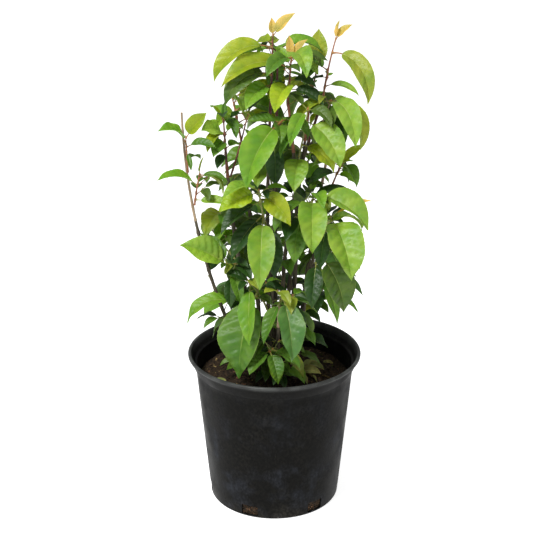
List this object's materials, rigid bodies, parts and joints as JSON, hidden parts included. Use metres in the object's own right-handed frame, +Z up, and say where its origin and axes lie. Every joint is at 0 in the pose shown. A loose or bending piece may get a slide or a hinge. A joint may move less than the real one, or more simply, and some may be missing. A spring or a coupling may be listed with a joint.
{
  "type": "potted nannyberry",
  "caption": "Young multi-stemmed shrub with large glossy oval leaves, rising from a clump of slim canes in a round black plastic nursery pot filled with bark mix",
  "frame": {"origin": "the middle of the pot's flat underside", "axes": "+Z up along the pot's axis, -Y towards the front, where the large leaves hang, +X to the right seen from the front"},
  "size_m": [0.2795, 0.2471, 0.688],
  "materials": {
    "pot_plastic": "black moulded polypropylene, matt with dusty grey scuffs and a slight sheen",
    "potting_mix": "dark, damp composted bark with a few red-brown chips",
    "bark": "grey-brown bark low down, thinning to tan and red-brown young wood",
    "foliage": "glossy mid to yellow-green leaves with sunken veins, paler beneath, and bronze shoot tips"
  },
  "bodies": {
    "root": {"bough_left": "bark", "bough_low_back": "bark", "bough_low_left": "bark", "bough_low_right": "bark", "bough_right": "bark", "cane_back": "bark", "cane_back_left": "bark", "cane_back_right": "bark", "cane_cut": "bark", "cane_far_right": "bark", "cane_front": "bark", "cane_left": "bark", "cane_mid": "bark", "cane_mid_back": "bark", "cane_mid_right": "bark", "cane_rear_right": "bark", "cane_right": "bark", "leaves_back": "foliage", "leaves_back_left": "foliage", "leaves_back_low": "foliage", "leaves_back_low_left": "foliage", "leaves_back_mid": "foliage", "leaves_bough_left": "foliage", "leaves_centre": "foliage", "leaves_centre_right": "foliage", "leaves_cut_cane": "foliage", "leaves_cut_side": "foliage", "leaves_left_arm": "foliage", "leaves_left_back": "foliage", "leaves_left_top": "foliage", "leaves_low_left": "foliage", "leaves_mid_front": "foliage", "leaves_pot_front": "foliage", "leaves_rear_low": "foliage", "leaves_rear_mid": "foliage", "leaves_rear_right": "foliage", "leaves_right_arm": "foliage", "leaves_right_back": "foliage", "leaves_right_low": "foliage", "leaves_right_mid": "foliage", "leaves_skirt_back": "foliage", "leaves_skirt_back_left": "foliage", "leaves_skirt_front": "foliage", "leaves_skirt_left": "foliage", "leaves_skirt_mid": "foliage", "leaves_skirt_rear": "foliage", "leaves_skirt_right": "foliage", "leaves_top_back": "foliage", "leaves_top_left": "foliage", "leaves_top_mid": "foliage", "leaves_top_right": "foliage", "pot": "pot_plastic", "potting_mix": "potting_mix"}
  },
  "joints": []
}
